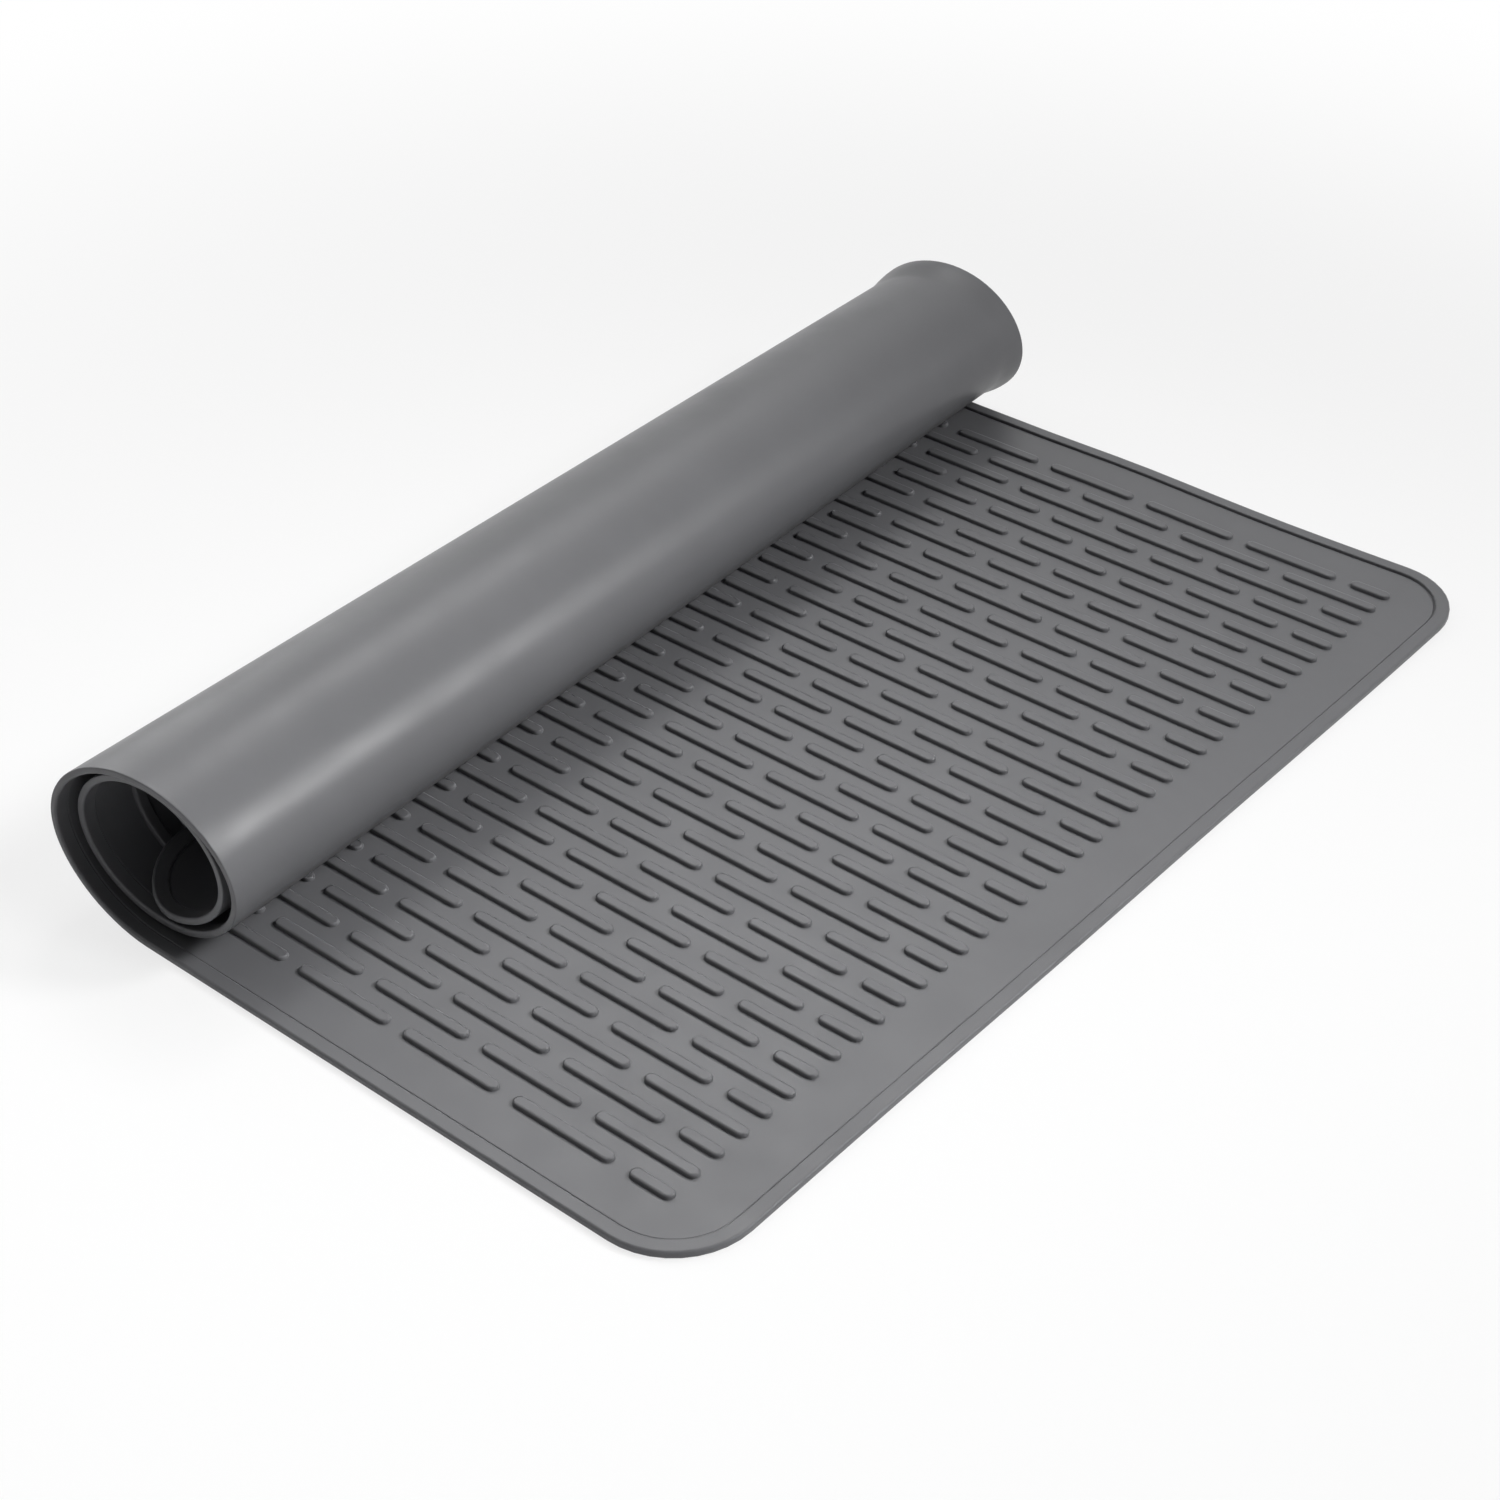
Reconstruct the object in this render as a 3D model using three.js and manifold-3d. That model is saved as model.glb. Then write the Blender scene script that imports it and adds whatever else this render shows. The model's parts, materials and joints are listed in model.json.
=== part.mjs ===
// Silicone stove top cover: one moulded mat with a rim and staggered rows of ribs, half rolled up.
// The mat is drawn flat and cut along its bend lines. Each strip then turns about its bend line in a
// chain of nested groups, so the rolled mat is the flat one with every bend turned.
// Millimetres. +X points to the front edge, +Y runs along the roll, +Z is up, the table is Z = 0.

import * as THREE from 'three';
import { mergeVertices } from 'three/addons/utils/BufferGeometryUtils.js';
import Module from 'manifold-3d';

// Mat
const MAT_LENGTH = 724;
const MAT_WIDTH = 508;
const CORNER_RADIUS = 32;
const SHEET = 1.8;

// Rim round the edge of the upper face
const RIM_WIDTH = 5;
const RIM_HEIGHT = 1;

// Ribs on the upper face, in rows that run from front to back, every second row half a period on
const RIB_LENGTH = 43.8;
const RIB_WIDTH = 5;
const RIB_HEIGHT = 1.2;
const RIB_GAP = 7.3;
const RIB_FRONT_MARGIN = 27;
const ROW_PITCH = 12;
const ROW_SIDE_MARGIN = 26;

// Roll: the strips turn through equal bends, and the radius shrinks from turn to turn
const STRIP_COUNT = 41;
const STRIP_BEND = THREE.MathUtils.degToRad(18.48);
const ROLL_RADIUS = 42;
const TURN_GAP = 3.1;
const ROLL_OVAL = 17.6;
const OVAL_LEFT_PER_TURN = 0.72;
const SKEW_AT_START = THREE.MathUtils.degToRad(3.3);
const SKEW_AT_END = THREE.MathUtils.degToRad(-1.5);
const SEAM_GAP = 0.3;

// Facets
const CORNER_SEGMENTS = 5;
const RIB_END_SEGMENTS = 2;

const silicone = new THREE.MeshStandardMaterial({ color: 0x66686b, roughness: 0.55, metalness: 0 });

const wasm = await Module();
wasm.setup();

function toSolid(geometry) {
  const bare = geometry.clone();
  bare.deleteAttribute('normal');
  bare.deleteAttribute('uv');
  const merged = mergeVertices(bare);
  const vertProperties = new Float32Array(merged.attributes.position.array);
  const triVerts = new Uint32Array(merged.index.array);
  return new wasm.Manifold(new wasm.Mesh({ numProp: 3, vertProperties, triVerts }));
}

function toGeometry(solid) {
  const { vertProperties, triVerts } = solid.getMesh();
  const geometry = new THREE.BufferGeometry();
  geometry.setAttribute('position', new THREE.BufferAttribute(vertProperties, 3));
  geometry.setIndex(new THREE.BufferAttribute(triVerts, 1));
  geometry.computeVertexNormals();
  return geometry;
}

// A shape drawn in X and Y, standing from one height to another
function block(shape, bottom, top, curveSegments) {
  const options = { depth: top - bottom, bevelEnabled: false, curveSegments };
  return new THREE.ExtrudeGeometry(shape, options).translate(0, 0, bottom);
}

// The mat's outline, or a line at a constant distance inside it, with the front edge at X = 0
function matOutline(inset) {
  const front = -inset;
  const back = inset - MAT_LENGTH;
  const side = MAT_WIDTH / 2 - inset;
  const radius = CORNER_RADIUS - inset;
  const shape = new THREE.Shape();
  shape.absarc(front - radius, side - radius, radius, 0, Math.PI / 2);
  shape.absarc(back + radius, side - radius, radius, Math.PI / 2, Math.PI);
  shape.absarc(back + radius, radius - side, radius, Math.PI, 1.5 * Math.PI);
  shape.absarc(front - radius, radius - side, radius, 1.5 * Math.PI, 2 * Math.PI);
  return shape;
}

// The whole mat, lying flat, without its ribs
function flatMat() {
  const rimTop = SHEET + RIM_HEIGHT;
  const slab = toSolid(block(matOutline(0), 0, rimTop, CORNER_SEGMENTS));
  const tray = toSolid(block(matOutline(RIM_WIDTH), SHEET, 2 * rimTop, CORNER_SEGMENTS));
  return slab.subtract(tray);
}

// A round-ended rib, rooted in the sheet, between two distances from the front edge
function rib(start, end, y) {
  const radius = RIB_WIDTH / 2;
  const outline = new THREE.Shape();
  outline.absarc(-start - radius, y, radius, -Math.PI / 2, Math.PI / 2);
  outline.absarc(-end + radius, y, radius, Math.PI / 2, 1.5 * Math.PI);
  return toSolid(block(outline, SHEET / 2, SHEET + RIB_HEIGHT, RIB_END_SEGMENTS));
}

// The ribs of every row that start before a distance from the front edge
function ribsBefore(limit) {
  const period = RIB_LENGTH + RIB_GAP;
  const rows = Math.floor((MAT_WIDTH - 2 * ROW_SIDE_MARGIN) / ROW_PITCH) + 1;
  const ribs = [];
  for (let row = 0; row < rows; row += 1) {
    const y = (row - (rows - 1) / 2) * ROW_PITCH;
    const lead = row % 2 === 0 ? -period / 2 : 0;
    for (let start = RIB_FRONT_MARGIN + lead; start < limit; start += period) {
      ribs.push(rib(Math.max(start, RIB_FRONT_MARGIN), start + RIB_LENGTH, y));
    }
  }
  return ribs;
}

// Length of mat along the near edge that has rolled up when the roll has turned through an angle.
// The radius of curvature is ROLL_RADIUS less one turn's pitch per turn, plus an oval that fades:
// wider over the bottom and top of the roll, tighter at its sides.
function rolledLength(angle) {
  const pitch = SHEET + RIB_HEIGHT + TURN_GAP;
  const fade = -Math.log(OVAL_LEFT_PER_TURN) / (2 * Math.PI);
  const spiral = ROLL_RADIUS * angle - (pitch * angle * angle) / (4 * Math.PI);
  const wave = 2 * Math.sin(2 * angle) - fade * Math.cos(2 * angle);
  const oval = (Math.exp(-fade * angle) * wave + fade) / (4 + fade * fade);
  return spiral + ROLL_OVAL * oval;
}

// Bend lines across the flat mat, each with its near end and its direction. They fan a little,
// because the roll is skewed where it starts and slightly narrower at its far end.
function bendLines() {
  const total = rolledLength(STRIP_COUNT * STRIP_BEND);
  const lines = [];
  for (let bend = 0; bend < STRIP_COUNT; bend += 1) {
    const rolled = rolledLength((bend + 0.5) * STRIP_BEND);
    const skew = THREE.MathUtils.lerp(SKEW_AT_START, SKEW_AT_END, rolled / total);
    const pivot = new THREE.Vector3(total - MAT_LENGTH - rolled, -MAT_WIDTH / 2, 0);
    const axis = new THREE.Vector3(-Math.sin(skew), Math.cos(skew), 0);
    lines.push({ pivot, axis });
  }
  return lines;
}

// Corner points of a strip's cut at one bend line: the cut leans by half the bend, so that two
// neighbours stand face to face with a seam between them once the bend is turned
function cutCorners({ pivot, axis }, side) {
  const overrun = 2 * CORNER_RADIUS;
  const low = -SHEET;
  const high = 2 * (SHEET + RIB_HEIGHT + RIM_HEIGHT);
  const away = new THREE.Vector3(axis.y, -axis.x, 0).multiplyScalar(side);
  const corner = (along, z) => {
    const lean = z * Math.tan(STRIP_BEND / 2) + SEAM_GAP / 2 / Math.cos(STRIP_BEND / 2);
    const point = pivot.clone().addScaledVector(axis, along).addScaledVector(away, lean);
    return point.setZ(z);
  };
  const far = MAT_WIDTH / axis.y + overrun;
  return [corner(-overrun, low), corner(far, low), corner(far, high), corner(-overrun, high)];
}

// A closed block between a front and a back quadrilateral of four corners each
function cell(front, back) {
  const points = [...front, ...back].flatMap((point) => point.toArray());
  const quads = [[0, 1, 2, 3], [7, 6, 5, 4], [4, 5, 1, 0], [5, 6, 2, 1], [6, 7, 3, 2], [7, 4, 0, 3]];
  const geometry = new THREE.BufferGeometry();
  geometry.setAttribute('position', new THREE.Float32BufferAttribute(points, 3));
  geometry.setIndex(quads.flatMap(([a, b, c, d]) => [a, b, c, a, c, d]));
  return toSolid(geometry);
}

// The same four corners moved along X, clear of the mat's end
function clearOf(corners, x) {
  return corners.map((point) => new THREE.Vector3(x, point.y, point.z));
}

function stripName(index) {
  if (index === STRIP_COUNT) {
    return 'roll_end';
  }
  const perTurn = Math.floor((2 * Math.PI) / STRIP_BEND);
  const outer = index <= perTurn;
  const place = String(outer ? index : index - perTurn).padStart(2, '0');
  return `${outer ? 'outer' : 'inner'}_turn_${place}`;
}

function part(name, solid, pivot) {
  const mesh = new THREE.Mesh(toGeometry(solid), silicone);
  mesh.geometry.translate(-pivot.x, -pivot.y, -pivot.z);
  mesh.name = name;
  return mesh;
}

// Front panel: the flat part, from the front edge to the first bend, with its ribs
function frontPanel(mat, firstBend) {
  const back = cutCorners(firstBend, 1);
  const longest = MAT_WIDTH * Math.tan(Math.abs(SKEW_AT_START)) - firstBend.pivot.x;
  const ribbed = wasm.Manifold.union([mat, ...ribsBefore(longest)]);
  const solid = ribbed.intersect(cell(clearOf(back, CORNER_RADIUS), back));
  return part('front_panel', solid, new THREE.Vector3());
}

// Strips: each sits in a group turned about its bend line, inside the group of the strip before it
function rolledStrips(mat, bends) {
  let outermost = null;
  let parent = null;
  bends.forEach((bend, place) => {
    const front = cutCorners(bend, -1);
    const last = place === STRIP_COUNT - 1;
    const back = last ? clearOf(front, -MAT_LENGTH - CORNER_RADIUS) : cutCorners(bends[place + 1], 1);
    const group = new THREE.Group();
    group.add(part(stripName(place + 1), mat.intersect(cell(front, back)), bend.pivot));
    group.position.copy(bend.pivot);
    group.quaternion.setFromAxisAngle(bend.axis, STRIP_BEND);
    if (parent) {
      group.position.sub(bends[place - 1].pivot);
      parent.add(group);
    } else {
      outermost = group;
    }
    parent = group;
  });
  return outermost;
}

function stoveTopCover() {
  const mat = flatMat();
  const bends = bendLines();
  const cover = new THREE.Group();
  cover.add(frontPanel(mat, bends[0]), rolledStrips(mat, bends));
  const box = new THREE.Box3().setFromObject(cover, true);
  const centre = box.getCenter(new THREE.Vector3());
  cover.position.set(-centre.x, -centre.y, -box.min.z);
  return cover;
}

export default stoveTopCover();
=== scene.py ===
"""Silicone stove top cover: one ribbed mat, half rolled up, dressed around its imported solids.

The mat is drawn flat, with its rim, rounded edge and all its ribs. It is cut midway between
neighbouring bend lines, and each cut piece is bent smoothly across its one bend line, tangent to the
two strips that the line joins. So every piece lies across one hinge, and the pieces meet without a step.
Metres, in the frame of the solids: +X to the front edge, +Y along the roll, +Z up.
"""
import json
import math
from typing import NamedTuple

import bmesh
import bpy
import numpy as np
from mathutils import Matrix, Vector

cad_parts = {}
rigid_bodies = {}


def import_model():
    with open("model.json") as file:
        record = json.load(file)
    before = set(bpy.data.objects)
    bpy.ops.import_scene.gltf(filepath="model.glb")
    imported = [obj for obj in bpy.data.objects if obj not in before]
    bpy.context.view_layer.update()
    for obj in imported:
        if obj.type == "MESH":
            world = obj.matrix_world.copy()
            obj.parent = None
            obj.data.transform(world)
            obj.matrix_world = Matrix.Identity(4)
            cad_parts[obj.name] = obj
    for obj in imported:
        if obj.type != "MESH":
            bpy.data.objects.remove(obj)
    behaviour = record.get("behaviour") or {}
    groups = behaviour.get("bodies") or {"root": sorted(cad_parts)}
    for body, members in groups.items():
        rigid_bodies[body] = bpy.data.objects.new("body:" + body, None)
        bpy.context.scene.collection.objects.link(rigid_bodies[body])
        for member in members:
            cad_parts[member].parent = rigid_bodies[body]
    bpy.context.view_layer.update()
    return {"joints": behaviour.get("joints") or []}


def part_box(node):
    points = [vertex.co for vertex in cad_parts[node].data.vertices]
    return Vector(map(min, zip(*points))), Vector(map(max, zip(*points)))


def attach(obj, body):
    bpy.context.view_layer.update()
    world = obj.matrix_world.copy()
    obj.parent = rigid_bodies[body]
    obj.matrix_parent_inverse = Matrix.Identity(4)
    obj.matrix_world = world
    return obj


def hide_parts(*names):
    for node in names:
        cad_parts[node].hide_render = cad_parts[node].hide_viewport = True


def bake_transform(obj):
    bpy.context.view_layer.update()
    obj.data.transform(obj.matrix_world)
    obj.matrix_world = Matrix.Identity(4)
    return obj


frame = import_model()

MM = 0.001


class Ring(NamedTuple):
    """One ring of a moulded profile: inset from the outline, height, and the normal there, out and up."""

    inset: float
    height: float
    out: float
    up: float


class Lamp(NamedTuple):
    """One square soft lamp: where it stands and aims, its side, its power in watts, its beam in degrees."""

    name: str
    place: tuple
    aim: tuple
    side: float
    power: float
    beam: float


# Mat, as the solids have it
MAT_LENGTH = 724 * MM
CORNER_RADIUS = 32 * MM
SHEET = 1.8 * MM

# Edge of the mat: a raised rim with a crease at its foot, and the rounds of both
RIM_WIDTH = 6 * MM
RIM_HEIGHT = 1 * MM
TOP_ROUND = 1.0 * MM
BOTTOM_ROUND = 0.5 * MM
RIM_STEP_ROUND = 0.5 * MM
CREASE_DEPTH = 0.36 * MM
CREASE_WIDTH = 1.0 * MM

# Ribs, in rows from front to back. Every second row is half a period on.
RIB_LENGTH = 43.8 * MM
RIB_WIDTH = 5.2 * MM
RIB_HEIGHT = 1.5 * MM
RIB_GAP = 7.3 * MM
RIB_FRONT_MARGIN = 27 * MM
ROW_PITCH = 12 * MM
ROW_COUNT = 39

# Roll, as the solids have it: equal bends, a radius that shrinks from turn to turn, and a fading oval
STRIP_COUNT = 41
STRIP_BEND = math.radians(18.48)
ROLL_RADIUS = 42 * MM
TURN_PITCH = 6.1 * MM
ROLL_OVAL = 17.6 * MM
OVAL_LEFT_PER_TURN = 0.72
SKEW_AT_START = math.radians(3.3)
SKEW_AT_END = math.radians(-1.5)

# Lay of the flat part: slight waves along its far and front edges, which calm down inwards and by the roll
RIPPLE_HEIGHT = 0.9 * MM
FAR_RIPPLE_LENGTH = 150 * MM
FAR_RIPPLE_REACH = 70 * MM
FRONT_RIPPLE_SHARE = 0.6
FRONT_RIPPLE_LENGTH = 202.5 * MM
FRONT_RIPPLE_REACH = 60 * MM
CALM_LENGTH = 90 * MM

# Lip where the roll's far end opens: how far it stands out, its widths along the roll, and the angles that
# the roll has turned through where it starts, is full, stands out most, and ends
LIP_OUT = 2.3 * MM
LIP_WIDTH = 0.5 * MM
LIP_RISE = 17 * MM
LIP_FROM = math.radians(50)
LIP_FULL = math.radians(100)
LIP_WIDEST = math.radians(150)
LIP_TO = math.radians(400)

# Facets
CORNER_STEPS = 10
RIB_END_STEPS = 5
BEND_STEPS = 4
LIP_STEPS = 5
PANEL_STEP = 18 * MM

# Small lengths: for slopes of a surface, for points on a cut, and for a bend line on its hinge
SLOPE_STEP = 0.02 * MM
CUT_TOLERANCE = 1e-7
HINGE_TOLERANCE = 0.2 * MM

# A face whose normals all point down further than this has the smooth back's finish
BACK_BELOW = -0.5

# Silicone of the ribbed face and of the smooth back. Depths are those of the bump.
SILICONE_IOR = 1.43
FACE_COLOUR = (0.138, 0.139, 0.146)
FACE_GLOSS = 0.28
FACE_GRAIN = {
    "Mottle": 0.04,
    "Roughness": 0.38,
    "Smear": 0.04,
    "Grain Size": 0.6 * MM,
    "Grain Depth": 0.010 * MM,
    "Sway Depth": 0.15 * MM,
}
# Painted light: the back is the same silicone as the ribbed face, but its colour is painted lighter so that
# the roll, which shows the back, reads brighter
BACK_COLOUR_PAINTED_LIGHTER = (0.180, 0.181, 0.186)
BACK_GLOSS = 0.36
BACK_GRAIN = {
    "Mottle": 0.07,
    "Roughness": 0.52,
    "Smear": 0.15,
    "Grain Size": 0.6 * MM,
    "Grain Depth": 0.008 * MM,
    "Sway Depth": 1.6 * MM,
}
CLOUDS = {"per_metre": 22, "detail": 4}
SMEARS = {"per_metre": 60, "detail": 3}
SWAYS = {"per_metre": 38, "detail": 2}
GRAIN_DETAIL = 2
NOISE_MIDDLE = (0.3, 0.7)

# Camera, from the mat's near front corner on the table
CAMERA_OFFSET = Vector((374.6, -425.4, 611.1)) * MM
CAMERA_FORWARD = Vector((-0.51600, 0.62560, -0.58512))
CAMERA_RIGHT = Vector((0.76821, 0.64017, 0.00699))
CAMERA_LENS = 64.73
CAMERA_SENSOR = 36.0
CAMERA_CLIP = (0.01, 50)

# Floor, a little below the mat: how much of it shows as plain white, while the rest takes light and
# shadow. It goes over to all white between two distances from the middle.
FLOOR_WHITE = 0.76
FLOOR_FADE = (0.3, 0.9)
FLOOR_REACH = 20.0
FLOOR_DROP = 0.2 * MM
FLOOR_COLOUR = (0.9, 0.9, 0.9)
FLOOR_ROUGHNESS = 0.9

# Room: what it lights the object with, while it shows as plain white
ROOM_LIGHT = 0.1

# Soft lamps: two from above the far end, one low from the left, two from the front edge's side
LAMPS = (
    Lamp("overhead", place=(-0.5, 2.5, 4.3), aim=(0.15, -0.4, 0), side=3.5, power=4.4, beam=42),
    Lamp("back", place=(-1.31, 1.62, 2.56), aim=(0.2, -0.36, 0), side=0.9, power=0.85, beam=30),
    Lamp("left", place=(-2.2, 0.3, 1.1), aim=(0, 0, 0), side=1.8, power=20, beam=180),
    Lamp("side", place=(1.5, 0.3, 1.8), aim=(0.03, -0.47, 0.02), side=0.8, power=1.1, beam=28),
    Lamp("glint", place=(1.0, 0.78, 1.02), aim=(-0.07, -0.19, 0.04), side=0.35, power=1.35, beam=46),
)

PANEL_LOW, PANEL_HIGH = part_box("front_panel")
FRONT_X = PANEL_HIGH.x
BACK_X = FRONT_X - MAT_LENGTH
NEAR_Y = PANEL_LOW.y
FAR_Y = PANEL_HIGH.y
MAT_WIDTH = FAR_Y - NEAR_Y


# Bend lines and the strips between them

class Bend:
    """One bend of the roll: its line on the flat mat, the bodies that it joins, and the moves to rest.

    One move carries the flat mat in front of the line, the other carries what lies behind it.
    """

    def __init__(self, place, near_x, skew, before):
        joints = frame["joints"]
        hinged = place < len(joints)
        self.place = place
        self.parent = joints[place]["parent"] if hinged else joints[-1]["child"]
        self.child = joints[place]["child"] if hinged else joints[-1]["child"]
        self.line = np.array([near_x, near_x - math.tan(skew) * MAT_WIDTH])
        pivot = Vector((near_x, NEAR_Y, 0))
        axis = Vector((-math.sin(skew), math.cos(skew), 0))
        turn = Matrix.Rotation(STRIP_BEND, 4, axis)
        self.along = np.array(before.to_3x3() @ axis)
        self.before = before
        self.after = before @ Matrix.Translation(pivot) @ turn @ Matrix.Translation(-pivot)
        if hinged and (before @ pivot - Vector(joints[place]["pos_m"])).length > HINGE_TOLERANCE:
            raise ValueError(f"bend {place + 1} is not on its hinge")


def rolled_length(angle):
    """Length of mat along the near edge that has rolled up when the roll has turned through an angle."""
    fade = -math.log(OVAL_LEFT_PER_TURN) / (2 * math.pi)
    spiral = ROLL_RADIUS * angle - TURN_PITCH * angle * angle / (4 * math.pi)
    swing = 2 * math.sin(2 * angle) - fade * math.cos(2 * angle)
    return spiral + ROLL_OVAL * (math.exp(-fade * angle) * swing + fade) / (4 + fade * fade)


def make_bends():
    total = rolled_length(STRIP_COUNT * STRIP_BEND)
    placed = Matrix.Identity(4)
    bends = []
    for place in range(STRIP_COUNT):
        rolled = rolled_length((place + 0.5) * STRIP_BEND)
        skew = SKEW_AT_START + (SKEW_AT_END - SKEW_AT_START) * rolled / total
        bends.append(Bend(place, BACK_X + total - rolled, skew, placed))
        placed = bends[-1].after
    return bends


def strip_node(place):
    """Node of the strip behind a bend."""
    if place + 1 == STRIP_COUNT:
        return "roll_end"
    per_turn = math.floor(2 * math.pi / STRIP_BEND)
    if place < per_turn:
        return f"outer_turn_{place + 1:02d}"
    return f"inner_turn_{place + 1 - per_turn:02d}"


def cut_lines(bends):
    """Lines midway between neighbouring bends, with one before the first bend and one after the last."""
    lines = [bend.line for bend in bends]
    between = [(a + b) / 2 for a, b in zip(lines, lines[1:])]
    first = 2 * lines[0] - between[0]
    last = 2 * lines[-1] - between[-1]
    return [first] + between + [last]


def line_x(line, y):
    """X of a line across the flat mat at each Y."""
    share = (y - NEAR_Y) / MAT_WIDTH
    return line[0] + (line[1] - line[0]) * share


# Bending of a flat piece

def moved(matrix, x, y):
    """Places of points on the flat mat's outer face, once a matrix has moved them."""
    m = np.array(matrix)
    flat = np.stack([x, y, np.zeros_like(x)], axis=1)
    return flat @ m[:3, :3].T + m[:3, 3]


def bent_surface(bend, start, end, x, y):
    """The mat's outer face across one bend: an arc in each row of points, tangent to both strips.

    In front of the start line and behind the end line the mat runs on straight.
    """
    x_start = line_x(start, y)
    x_end = line_x(end, y)
    share = (x_start - x) / (x_start - x_end)
    inside = np.clip(share, 0, 1)
    half = STRIP_BEND / 2
    towards_start = np.sin((1 - inside) * half)
    towards_end = np.sin(inside * half)
    weights = [towards_start ** 2, 2 * math.cos(half) * towards_start * towards_end, towards_end ** 2]
    corners = [
        moved(bend.before, x_start, y),
        moved(bend.before, line_x(bend.line, y), y),
        moved(bend.after, x_end, y),
    ]
    arc = sum(w[:, None] * c for w, c in zip(weights, corners)) / sum(weights)[:, None]
    ahead = moved(bend.before, x, y) - corners[0]
    past = moved(bend.after, x, y) - corners[2]
    return arc + (share < 0)[:, None] * ahead + (share > 1)[:, None] * past


def surface_axes(surface, x, y):
    """Point and three unit directions of a surface at each flat X and Y: along X, along Y, up."""
    here = surface(x, y)
    along_x = surface(x + SLOPE_STEP, y) - surface(x - SLOPE_STEP, y)
    along_y = surface(x, y + SLOPE_STEP) - surface(x, y - SLOPE_STEP)
    up = np.cross(along_x, along_y)
    up /= np.linalg.norm(up, axis=1)[:, None]
    along_x /= np.linalg.norm(along_x, axis=1)[:, None]
    return here, along_x, np.cross(up, along_x), up


def shape_piece(surface, flat, flat_normals):
    """Places and normals of a flat piece's points once its outer face lies on a surface."""
    here, along_x, along_y, up = surface_axes(surface, flat[:, 0], flat[:, 1])
    places = here + flat[:, 2:3] * up
    normals = flat_normals[:, 0:1] * along_x + flat_normals[:, 1:2] * along_y + flat_normals[:, 2:3] * up
    return places, normals / np.linalg.norm(normals, axis=1)[:, None]


def smooth_step(value):
    t = np.clip(value, 0, 1)
    return t * t * (3 - 2 * t)


def wave(distance, length):
    """A wave between 0 and 1, 0 at its start."""
    return 0.5 - 0.5 * np.cos(2 * math.pi * distance / length)


def ripple(x, y, roll_x):
    """Lift of the flat part off the table: slight waves at its edges, and none at the roll."""
    by_far = smooth_step(1 - (FAR_Y - y) / FAR_RIPPLE_REACH)
    by_front = smooth_step(1 - (FRONT_X - x) / FRONT_RIPPLE_REACH)
    from_roll = smooth_step((x - roll_x) / CALM_LENGTH)
    far_waves = by_far * wave(x - roll_x, FAR_RIPPLE_LENGTH)
    front_waves = by_front * wave(y - NEAR_Y, FRONT_RIPPLE_LENGTH)
    return RIPPLE_HEIGHT * from_roll * (far_waves + FRONT_RIPPLE_SHARE * front_waves)


def lip(turned, y):
    """How far the roll's far end stands out, by the angle that the roll has turned through.

    It is pressed oval, and stands out most at the widest angle and opposite to it.
    """
    shown = smooth_step((turned - LIP_FROM) / (LIP_FULL - LIP_FROM))
    hidden = smooth_step((turned - LIP_TO) / (LIP_FULL - LIP_FROM))
    oval = np.cos(turned - LIP_WIDEST) ** 2
    return LIP_OUT * shown * (1 - hidden) * oval * smooth_step(1 - (FAR_Y - y - LIP_WIDTH) / LIP_RISE)


# Flat mat: the sheet with its rim, and the ribs

def edge_profile():
    """The mat's edge, from its underside over the rim and the crease to the sheet's upper face.

    Shares of each round, and of the crease, place the rings along them.
    """
    top = SHEET + RIM_HEIGHT
    low = BOTTOM_ROUND
    high = TOP_ROUND
    inner = RIM_WIDTH
    step = RIM_STEP_ROUND
    foot = SHEET - CREASE_DEPTH
    return [
        Ring(low, 0, 0, -1),
        Ring(0.3 * low, 0.3 * low, 0.7, -0.7),
        Ring(0, low, 1, 0),
        Ring(0, top - high, 1, 0),
        Ring(0.13 * high, top - 0.5 * high, 0.87, 0.5),
        Ring(0.5 * high, top - 0.13 * high, 0.5, 0.87),
        Ring(high, top, 0, 1),
        Ring(inner - 1.4 * step, top, 0, 1),
        Ring(inner - 0.6 * step, top - 0.3 * step, -0.6, 0.8),
        Ring(inner - 0.2 * step, top - 0.9 * step, -0.97, 0.25),
        Ring(inner, foot + 0.4 * CREASE_DEPTH, -0.97, 0.25),
        Ring(inner + 0.2 * CREASE_WIDTH, foot, 0, 1),
        Ring(inner + 0.6 * CREASE_WIDTH, foot + 0.6 * CREASE_DEPTH, 0.7, 0.7),
        Ring(inner + CREASE_WIDTH, SHEET, 0, 1),
    ]


def rib_profile():
    """A rib's steep wall, from its root in the sheet, and its rounded top, by shares of its height."""
    return [
        Ring(-0.15 * MM, -0.2 * RIB_HEIGHT, 1, 0),
        Ring(-0.02 * MM, 0.03 * RIB_HEIGHT, 0.98, 0.2),
        Ring(0.08 * MM, 0.57 * RIB_HEIGHT, 0.96, 0.28),
        Ring(0.30 * MM, 0.84 * RIB_HEIGHT, 0.75, 0.66),
        Ring(0.72 * MM, 0.975 * RIB_HEIGHT, 0.3, 0.95),
        Ring(1.30 * MM, RIB_HEIGHT, 0, 1),
    ]


def rounded_ring(centres, radius, steps):
    """Points and outward directions round corner centres, counter-clockwise from the front, far one."""
    sweep = 2 * math.pi / len(centres)
    first = math.pi / 2 - sweep
    points = []
    for place, (cx, cy) in enumerate(centres):
        for step in range(steps + 1):
            angle = first + place * sweep + sweep * step / steps
            out = (math.cos(angle), math.sin(angle))
            points.append(((cx + radius * out[0], cy + radius * out[1]), out))
    return points


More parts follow.
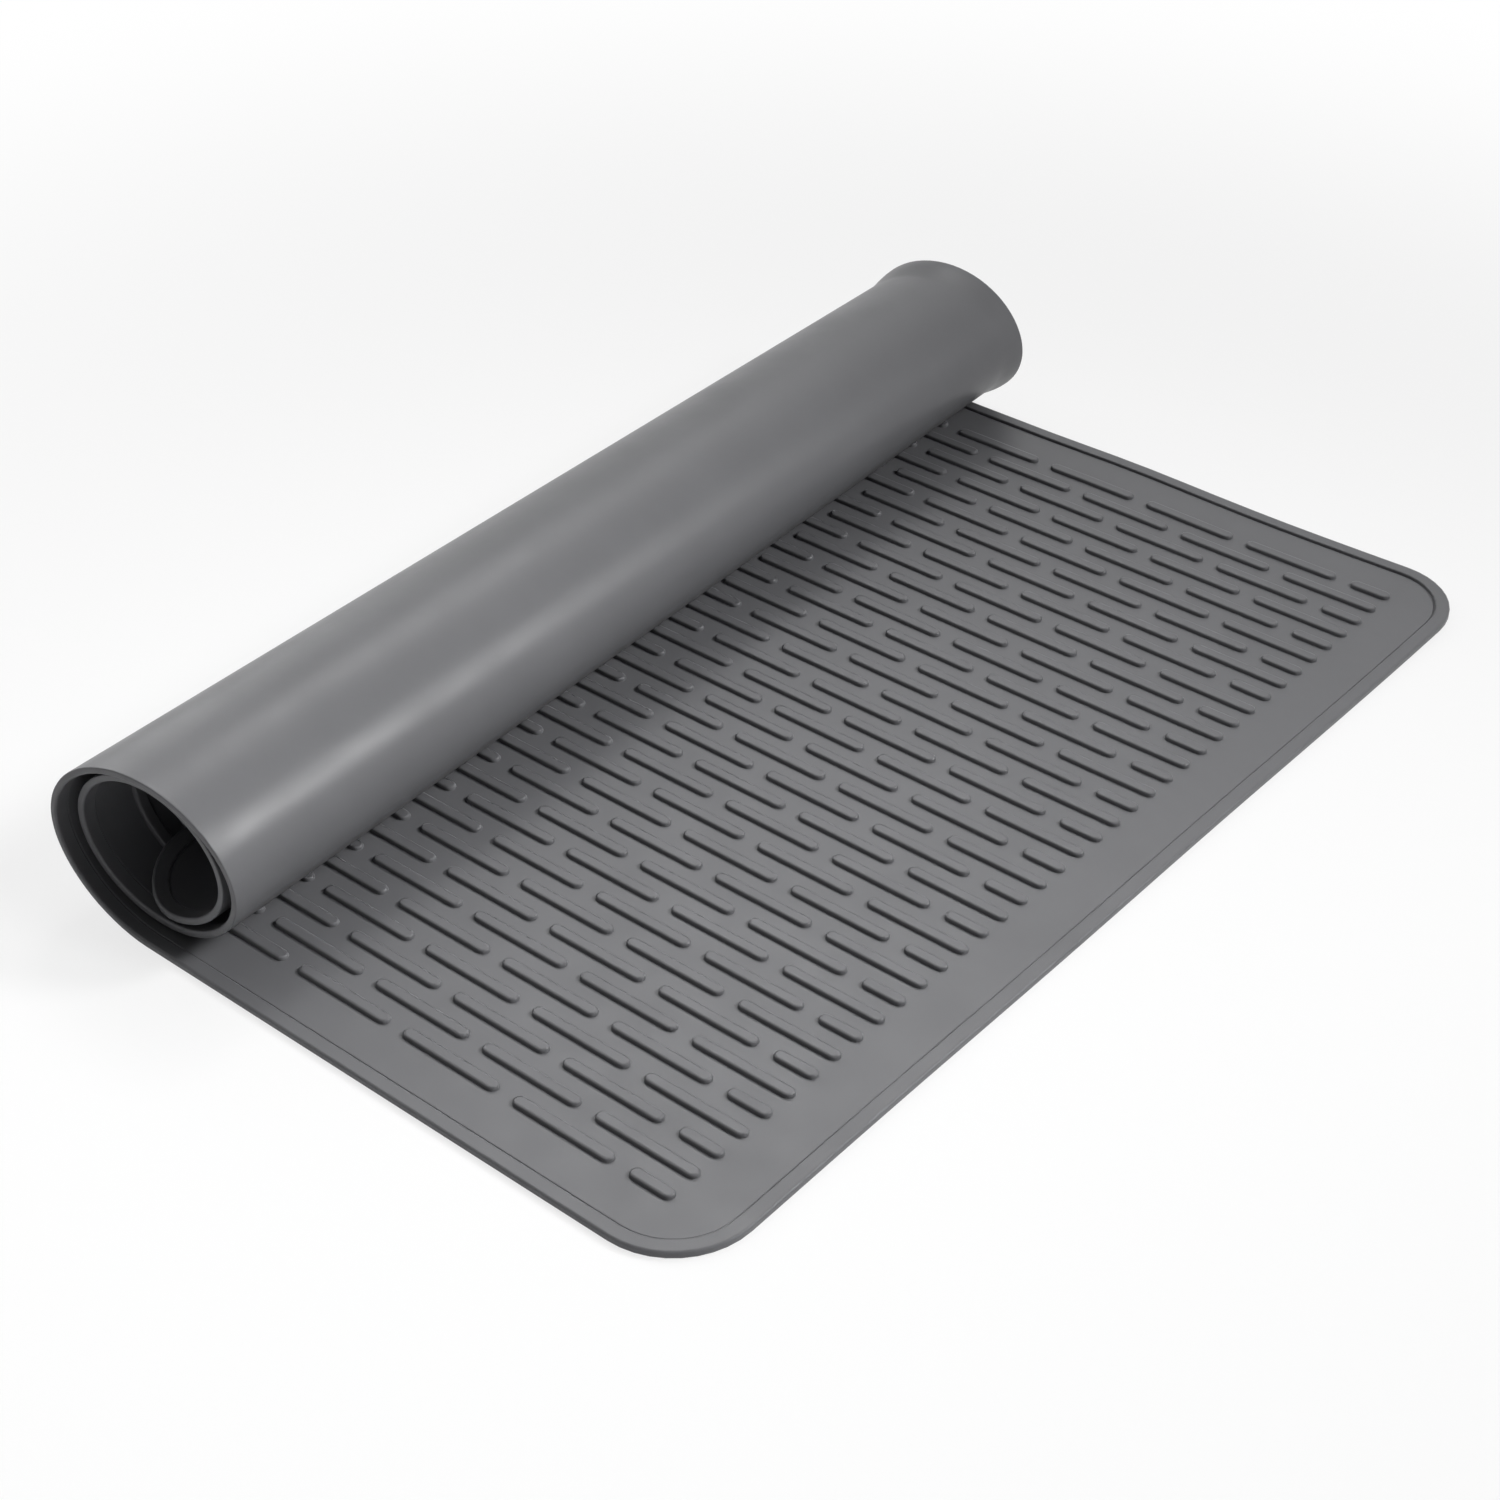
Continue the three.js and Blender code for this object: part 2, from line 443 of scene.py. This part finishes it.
def lofted_shell(name, profile, centres, radius, steps, lift):
    """A closed shell through the rings of a profile. Its points keep the normals it is shaded by."""
    bm = bmesh.new()
    kept = bm.verts.layers.float_vector.new("flat_normal")
    loops = []
    for ring in profile:
        loop = []
        for (x, y), direction in rounded_ring(centres, radius - ring.inset, steps):
            vert = bm.verts.new((x, y, lift + ring.height))
            vert[kept] = Vector((direction[0] * ring.out, direction[1] * ring.out, ring.up)).normalized()
            loop.append(vert)
        loops.append(loop)
    count = len(loops[0])
    for lower, upper in zip(loops, loops[1:]):
        for a in range(count):
            b = (a + 1) % count
            bm.faces.new((lower[a], lower[b], upper[b], upper[a]))
    bm.faces.new(loops[-1])
    bm.faces.new(list(reversed(loops[0])))
    mesh = bpy.data.meshes.new(name)
    bm.to_mesh(mesh)
    bm.free()
    return mesh


def sheet_shell():
    reach = CORNER_RADIUS
    centres = [
        (FRONT_X - reach, FAR_Y - reach),
        (BACK_X + reach, FAR_Y - reach),
        (BACK_X + reach, NEAR_Y + reach),
        (FRONT_X - reach, NEAR_Y + reach),
    ]
    return lofted_shell("sheet", edge_profile(), centres, CORNER_RADIUS, CORNER_STEPS, 0)


def rib_shell(name, length):
    radius = RIB_WIDTH / 2
    span = length / 2 - radius
    return lofted_shell(name, rib_profile(), [(span, 0), (-span, 0)], radius, RIB_END_STEPS, SHEET)


def feed(tree, value, socket):
    """Sets a socket to a number, or links it to another socket."""
    if isinstance(value, (int, float)):
        socket.default_value = value
    else:
        tree.links.new(value, socket)


def math_node(tree, operation, *values):
    """Adds a Math node on numbers or sockets, and gives its result."""
    node = tree.nodes.new("ShaderNodeMath")
    node.operation = operation
    for value, socket in zip(values, node.inputs):
        feed(tree, value, socket)
    return node.outputs[0]


def rib_row_tree():
    """Geometry Nodes: copies of one rib, in rows along -X, one row every pitch along +Y."""
    tree = bpy.data.node_groups.new("rib_rows", "GeometryNodeTree")
    face = tree.interface
    face.new_socket("Geometry", in_out="OUTPUT", socket_type="NodeSocketGeometry")
    for label, kind in (
        ("Rib", "NodeSocketObject"),
        ("First", "NodeSocketVector"),
        ("Ribs In Row", "NodeSocketInt"),
        ("Period", "NodeSocketFloat"),
        ("Rows", "NodeSocketInt"),
        ("Row Pitch", "NodeSocketFloat"),
        ("Finish", "NodeSocketMaterial"),
    ):
        face.new_socket(label, in_out="INPUT", socket_type=kind)
    add = tree.nodes.new
    link = tree.links.new
    given = add("NodeGroupInput").outputs
    along = add("ShaderNodeCombineXYZ")
    link(math_node(tree, "MULTIPLY", given["Period"], -1), along.inputs["X"])
    across = add("ShaderNodeCombineXYZ")
    link(given["Row Pitch"], across.inputs["Y"])
    row = add("GeometryNodeMeshLine")
    link(given["Ribs In Row"], row.inputs["Count"])
    link(along.outputs[0], row.inputs["Offset"])
    rows = add("GeometryNodeMeshLine")
    link(given["Rows"], rows.inputs["Count"])
    link(given["First"], rows.inputs["Start Location"])
    link(across.outputs[0], rows.inputs["Offset"])
    spread = add("GeometryNodeInstanceOnPoints")
    link(rows.outputs["Mesh"], spread.inputs["Points"])
    link(row.outputs["Mesh"], spread.inputs["Instance"])
    places = add("GeometryNodeRealizeInstances")
    link(spread.outputs["Instances"], places.inputs["Geometry"])
    rib = add("GeometryNodeObjectInfo")
    link(given["Rib"], rib.inputs["Object"])
    copies = add("GeometryNodeInstanceOnPoints")
    link(places.outputs["Geometry"], copies.inputs["Points"])
    link(rib.outputs["Geometry"], copies.inputs["Instance"])
    real = add("GeometryNodeRealizeInstances")
    link(copies.outputs["Instances"], real.inputs["Geometry"])
    finish = add("GeometryNodeSetMaterial")
    link(real.outputs["Geometry"], finish.inputs["Geometry"])
    link(given["Finish"], finish.inputs["Material"])
    out = add("NodeGroupOutput")
    link(finish.outputs["Geometry"], out.inputs["Geometry"])
    return tree


def rib_rows(tree, rib_mesh, first, ribs_in_row, rows, finish):
    """Plain mesh of one set of ribs, laid out on the flat mat."""
    rib = bpy.data.objects.new(rib_mesh.name, rib_mesh)
    holder = bpy.data.objects.new("rib_rows", bpy.data.meshes.new("rib_rows"))
    for item in (rib, holder):
        bpy.context.scene.collection.objects.link(item)
    modifier = holder.modifiers.new("rows", "NODES")
    modifier.node_group = tree
    values = {
        "Rib": rib,
        "First": first,
        "Ribs In Row": ribs_in_row,
        "Period": RIB_LENGTH + RIB_GAP,
        "Rows": rows,
        "Row Pitch": 2 * ROW_PITCH,
        "Finish": finish,
    }
    for item in tree.interface.items_tree:
        if item.name in values:
            modifier[item.identifier] = values[item.name]
    graph = bpy.context.evaluated_depsgraph_get()
    mesh = bpy.data.meshes.new_from_object(holder.evaluated_get(graph), depsgraph=graph)
    for item in (rib, holder):
        bpy.data.objects.remove(item)
    return mesh


def all_ribs(finish):
    """Meshes of every rib on the flat mat.

    Rows of full ribs lie between rows shifted by half a period, which begin and end with a short rib.
    """
    period = RIB_LENGTH + RIB_GAP
    short = period / 2 - RIB_GAP
    per_row = round((MAT_LENGTH - 2 * RIB_FRONT_MARGIN + RIB_GAP) / period)
    plain_rows = ROW_COUNT // 2
    shifted_rows = ROW_COUNT - plain_rows
    front = FRONT_X - RIB_FRONT_MARGIN
    first_row = (NEAR_Y + FAR_Y) / 2 - (ROW_COUNT - 1) / 2 * ROW_PITCH
    end = front - per_row * period + RIB_GAP
    tree = rib_row_tree()
    full_rib = rib_shell("full_rib", RIB_LENGTH)
    short_rib = rib_shell("short_rib", short)
    plain = (front - RIB_LENGTH / 2, first_row + ROW_PITCH, 0)
    shifted = (front - period / 2 - RIB_LENGTH / 2, first_row, 0)
    leading = (front - short / 2, first_row, 0)
    trailing = (end + short / 2, first_row, 0)
    return [
        rib_rows(tree, full_rib, plain, per_row, plain_rows, finish),
        rib_rows(tree, full_rib, shifted, per_row - 1, shifted_rows, finish),
        rib_rows(tree, short_rib, leading, 1, shifted_rows, finish),
        rib_rows(tree, short_rib, trailing, 1, shifted_rows, finish),
    ]


# Cutting the flat mat into pieces

def cut_across(bm, line, drop_front=False, drop_back=False):
    """Cuts a flat mesh along a line across the mat. It can drop what lies in front of it or behind it."""
    start = Vector((line[0], NEAR_Y, 0))
    along = Vector((line[1] - line[0], MAT_WIDTH, 0))
    bmesh.ops.bisect_plane(
        bm,
        geom=bm.verts[:] + bm.edges[:] + bm.faces[:],
        dist=CUT_TOLERANCE,
        plane_co=start,
        plane_no=Vector((-along.y, along.x, 0)).normalized(),
        clear_outer=drop_back,
        clear_inner=drop_front,
    )


def cut_along(bm, y):
    """Cuts a flat mesh along a line from front to back."""
    parts = bm.verts[:] + bm.edges[:] + bm.faces[:]
    bmesh.ops.bisect_plane(bm, geom=parts, dist=CUT_TOLERANCE, plane_co=(0, y, 0), plane_no=(0, 1, 0))


def close_cuts(bm):
    """Closes the open loops that a cut leaves, with flat faces."""
    rims = [edge for edge in bm.edges if edge.is_boundary]
    made = bmesh.ops.holes_fill(bm, edges=rims, sides=0)["faces"]
    bmesh.ops.recalc_face_normals(bm, faces=bm.faces[:])
    for face in bm.faces:
        face.smooth = True
    for face in made:
        face.smooth = False


class FlatMat:
    """The whole mat, flat: the sheet's shell, and for each set of ribs its mesh and the X of its points."""

    def __init__(self, finishes):
        self.sheet = sheet_shell()
        self.ribs = []
        for mesh in all_ribs(finishes["face"]):
            places = np.zeros(len(mesh.vertices) * 3)
            mesh.vertices.foreach_get("co", places)
            self.ribs.append((mesh, places.reshape(-1, 3)[:, 0]))

    def between(self, front, back):
        """A flat mesh of what lies between two lines. None stands for the mat's own end."""
        bm = bmesh.new()
        bm.from_mesh(self.sheet)
        low = back.min() if back is not None else BACK_X
        high = front.max() if front is not None else FRONT_X
        for mesh, x in self.ribs:
            self.add_ribs(bm, mesh, x, low, high)
        if front is not None:
            cut_across(bm, front, drop_front=True)
        if back is not None:
            cut_across(bm, back, drop_back=True)
        close_cuts(bm)
        return bm

    @staticmethod
    def add_ribs(bm, mesh, x, low, high):
        """Adds the ribs of one set that reach between two values of X."""
        per_rib = 2 * (RIB_END_STEPS + 1) * len(rib_profile())
        spans = x.reshape(-1, per_rib)
        wanted = (spans.max(axis=1) > low) & (spans.min(axis=1) < high)
        if not wanted.any():
            return
        picked = bmesh.new()
        picked.from_mesh(mesh)
        picked.verts.ensure_lookup_table()
        spare = [picked.verts[i] for i in np.flatnonzero(np.repeat(~wanted, per_rib))]
        bmesh.ops.delete(picked, geom=spare, context="VERTS")
        kept = bpy.data.meshes.new("picked_ribs")
        picked.to_mesh(kept)
        picked.free()
        bm.from_mesh(kept)
        bpy.data.meshes.remove(kept)


def finished_piece(name, bm, surface, finishes):
    """Turns a flat cut piece into an object lying on a surface, with its normals and finishes."""
    mesh = bpy.data.meshes.new(name)
    kept = bm.verts.layers.float_vector["flat_normal"]
    flat = np.array([vert.co[:] for vert in bm.verts])
    flat_normals = np.array([vert[kept][:] for vert in bm.verts])
    for face in bm.faces:
        most_up = max(vert[kept].z for vert in face.verts)
        face.material_index = 1 if most_up < BACK_BELOW else 0
    bm.to_mesh(mesh)
    bm.free()
    mesh.materials.clear()
    for finish in ("face", "back"):
        mesh.materials.append(finishes[finish])
    places, normals = shape_piece(surface, flat, flat_normals)
    mesh.vertices.foreach_set("co", places.astype(np.float32).ravel())
    mesh.attributes.remove(mesh.attributes["flat_normal"])
    loop_normals = [
        normals[mesh.loops[loop].vertex_index].tolist() if polygon.use_smooth else (0.0, 0.0, 0.0)
        for polygon in mesh.polygons
        for loop in polygon.loop_indices
    ]
    mesh.normals_split_custom_set(loop_normals)
    mesh.update()
    piece = bpy.data.objects.new(name, mesh)
    bpy.context.scene.collection.objects.link(piece)
    return piece


# Pieces

def front_panel_piece(mat, line, finishes):
    """The flat part, from the front edge to the cut before the first bend, resting on the table."""
    bm = mat.between(None, line)
    roll_x = line.max()
    for step in range(1, int((FRONT_X - roll_x) / PANEL_STEP)):
        cut_across(bm, np.full(2, FRONT_X - step * PANEL_STEP))
    for step in range(1, int(MAT_WIDTH / PANEL_STEP)):
        cut_along(bm, NEAR_Y + step * PANEL_STEP)

    def resting(x, y):
        return np.stack([x, y, ripple(x, y, roll_x)], axis=1)

    piece = finished_piece("flat_part", bm, resting, finishes)
    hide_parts("front_panel")
    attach(piece, "front_panel")


def bend_piece(mat, bend, lines, finishes):
    """The mat across one bend, bent along the strips on both sides. Past the last hinge it goes with the
    roll's end.
    """
    start, end = lines[bend.place], lines[bend.place + 1]
    last = bend.place + 1 == STRIP_COUNT
    bm = mat.between(start, None if last else end)
    for step in range(1, BEND_STEPS + (1 if last else 0)):
        cut_across(bm, start + (end - start) * step / BEND_STEPS)
    for step in range(LIP_STEPS + 1):
        cut_along(bm, FAR_Y - LIP_WIDTH - LIP_RISE * step / LIP_STEPS)

    def plain(x, y):
        return bent_surface(bend, start, end, x, y)

    def surface(x, y):
        outer, _, _, up = surface_axes(plain, x, y)
        share = (line_x(start, y) - x) / (line_x(start, y) - line_x(end, y))
        return outer - lip((bend.place + share) * STRIP_BEND, y)[:, None] * up

    piece = finished_piece(f"rolled_part_{bend.place + 1:02d}", bm, surface, finishes)
    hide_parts(strip_node(bend.place))
    if bend.parent == bend.child:
        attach(piece, bend.child)
        return
    middle = np.array([(NEAR_Y + FAR_Y) / 2])
    from_point = moved(bend.before, line_x(start, middle), middle)[0]
    span = moved(bend.after, line_x(end, middle), middle)[0] - from_point
    span -= span.dot(bend.along) * bend.along
    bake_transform(piece)


# Finishes

def map_range(tree, value, source, target, kind="LINEAR"):
    """Adds a Map Range node from one pair of limits to another, and gives its result."""
    node = tree.nodes.new("ShaderNodeMapRange")
    node.interpolation_type = kind
    for label, limit in zip(("From Min", "From Max", "To Min", "To Max"), (*source, *target)):
        node.inputs[label].default_value = limit
    tree.links.new(value, node.inputs["Value"])
    return node.outputs["Result"]


def silicone_grain_group():
    """Moulded silicone: faint mottling, soft smears left by handling, a fine matt grain and a slow sway."""
    group = bpy.data.node_groups.new("silicone_grain", "ShaderNodeTree")
    face = group.interface
    face.new_socket("Colour", in_out="INPUT", socket_type="NodeSocketColor")
    for label in ("Mottle", "Roughness", "Smear", "Grain Size", "Grain Depth", "Sway Depth"):
        face.new_socket(label, in_out="INPUT", socket_type="NodeSocketFloat")
    face.new_socket("Colour", in_out="OUTPUT", socket_type="NodeSocketColor")
    for label in ("Roughness", "Height"):
        face.new_socket(label, in_out="OUTPUT", socket_type="NodeSocketFloat")
    add = group.nodes.new
    link = group.links.new
    given = add("NodeGroupInput").outputs
    out = add("NodeGroupOutput").inputs
    place = add("ShaderNodeTexCoord").outputs["Object"]

    def noise(per_metre, detail):
        node = add("ShaderNodeTexNoise")
        node.inputs["Detail"].default_value = detail
        link(place, node.inputs["Vector"])
        feed(group, per_metre, node.inputs["Scale"])
        return node.outputs["Fac"]

    def either_way(value, amount):
        """Noise about 0, times an amount."""
        return math_node(group, "MULTIPLY", map_range(group, value, NOISE_MIDDLE, (-1, 1)), amount)

    shade = math_node(group, "ADD", 1, either_way(noise(**CLOUDS), given["Mottle"]))
    tinted = add("ShaderNodeVectorMath")
    tinted.operation = "SCALE"
    link(given["Colour"], tinted.inputs[0])
    link(shade, tinted.inputs["Scale"])
    link(tinted.outputs[0], out["Colour"])
    smears = either_way(noise(**SMEARS), given["Smear"])
    link(math_node(group, "ADD", given["Roughness"], smears), out["Roughness"])
    grains_per_metre = math_node(group, "DIVIDE", 1, given["Grain Size"])
    grain_height = math_node(group, "MULTIPLY", noise(grains_per_metre, GRAIN_DETAIL), given["Grain Depth"])
    sway_height = math_node(group, "MULTIPLY", noise(**SWAYS), given["Sway Depth"])
    link(math_node(group, "ADD", grain_height, sway_height), out["Height"])
    return group


def silicone_finish(name, group, colour, gloss, values):
    material = bpy.data.materials.new(name)
    material.use_nodes = True
    nodes = material.node_tree.nodes
    link = material.node_tree.links.new
    shader = nodes["Principled BSDF"]
    shader.inputs["Specular IOR Level"].default_value = gloss
    shader.inputs["IOR"].default_value = SILICONE_IOR
    grain = nodes.new("ShaderNodeGroup")
    grain.node_tree = group
    grain.inputs["Colour"].default_value = (*colour, 1)
    for label, value in values.items():
        grain.inputs[label].default_value = value
    bump = nodes.new("ShaderNodeBump")
    bump.inputs["Distance"].default_value = 1
    link(grain.outputs["Colour"], shader.inputs["Base Color"])
    link(grain.outputs["Roughness"], shader.inputs["Roughness"])
    link(grain.outputs["Height"], bump.inputs["Height"])
    link(bump.outputs["Normal"], shader.inputs["Normal"])
    return material


def make_finishes():
    group = silicone_grain_group()
    return {
        "face": silicone_finish("ribbed_face_silicone", group, FACE_COLOUR, FACE_GLOSS, FACE_GRAIN),
        "back": silicone_finish("smooth_back_silicone", group, BACK_COLOUR_PAINTED_LIGHTER, BACK_GLOSS, BACK_GRAIN),
    }


# Studio

def seen_directly(tree):
    """1 where a ray comes from the camera, straight, mirrored or through glass. 0 where it only lights."""
    path = tree.nodes.new("ShaderNodeLightPath").outputs
    straight_or_mirrored = math_node(tree, "MAXIMUM", path["Is Camera Ray"], path["Is Glossy Ray"])
    return math_node(tree, "MAXIMUM", straight_or_mirrored, path["Is Transmission Ray"])


def floor_whiteness(tree):
    """Share of plain white in the floor, as the camera sees it."""
    away = tree.nodes.new("ShaderNodeVectorMath")
    away.operation = "LENGTH"
    tree.links.new(tree.nodes.new("ShaderNodeTexCoord").outputs["Object"], away.inputs[0])
    white = map_range(tree, away.outputs["Value"], FLOOR_FADE, (FLOOR_WHITE, 1), kind="SMOOTHSTEP")
    return math_node(tree, "MULTIPLY", white, seen_directly(tree))


def floor():
    mesh = bpy.data.meshes.new("floor")
    reach = FLOOR_REACH
    corners = [(-reach, -reach), (reach, -reach), (reach, reach), (-reach, reach)]
    mesh.from_pydata([(x, y, -FLOOR_DROP) for x, y in corners], [], [(0, 1, 2, 3)])
    material = bpy.data.materials.new("pale_floor")
    material.use_nodes = True
    tree = material.node_tree
    link = tree.links.new
    shader = tree.nodes["Principled BSDF"]
    shader.inputs["Base Color"].default_value = (*FLOOR_COLOUR, 1)
    shader.inputs["Roughness"].default_value = FLOOR_ROUGHNESS
    white = tree.nodes.new("ShaderNodeEmission")
    mixed = tree.nodes.new("ShaderNodeMixShader")
    link(floor_whiteness(tree), mixed.inputs[0])
    link(shader.outputs[0], mixed.inputs[1])
    link(white.outputs[0], mixed.inputs[2])
    link(mixed.outputs[0], tree.nodes["Material Output"].inputs["Surface"])
    mesh.materials.append(material)
    ground = bpy.data.objects.new("floor", mesh)
    bpy.context.scene.collection.objects.link(ground)


def soft_lamp(lamp):
    light = bpy.data.lights.new(lamp.name, "AREA")
    light.shape = "SQUARE"
    light.size = lamp.side
    light.spread = math.radians(lamp.beam)
    light.energy = lamp.power
    holder = bpy.data.objects.new(lamp.name, light)
    holder.location = lamp.place
    holder.rotation_mode = "QUATERNION"
    holder.rotation_quaternion = (Vector(lamp.aim) - Vector(lamp.place)).to_track_quat("-Z", "Y")
    bpy.context.scene.collection.objects.link(holder)


def studio():
    scene = bpy.context.scene
    scene.view_settings.view_transform = "Standard"
    world = bpy.data.worlds.new("studio")
    scene.world = world
    world.use_nodes = True
    tree = world.node_tree
    room = tree.nodes["Background"].inputs
    room["Color"].default_value = (1, 1, 1, 1)
    strength = math_node(tree, "MULTIPLY_ADD", seen_directly(tree), 1 - ROOM_LIGHT, ROOM_LIGHT)
    tree.links.new(strength, room["Strength"])
    for lamp in LAMPS:
        soft_lamp(lamp)


def camera():
    data = bpy.data.cameras.new("camera")
    data.lens = CAMERA_LENS
    data.sensor_width = CAMERA_SENSOR
    data.sensor_fit = "HORIZONTAL"
    data.clip_start, data.clip_end = CAMERA_CLIP
    holder = bpy.data.objects.new("camera", data)
    forward = CAMERA_FORWARD.normalized()
    up = CAMERA_RIGHT.cross(forward).normalized()
    right = forward.cross(up)
    turn = Matrix((right, up, -forward)).transposed().to_4x4()
    holder.matrix_world = Matrix.Translation(Vector((FRONT_X, NEAR_Y, 0)) + CAMERA_OFFSET) @ turn
    bpy.context.scene.collection.objects.link(holder)
    bpy.context.scene.camera = holder


def main():
    studio()
    camera()
    floor()
    finishes = make_finishes()
    bends = make_bends()
    lines = cut_lines(bends)
    mat = FlatMat(finishes)
    front_panel_piece(mat, lines[0], finishes)
    for bend in bends:
        bend_piece(mat, bend, lines, finishes)


main()
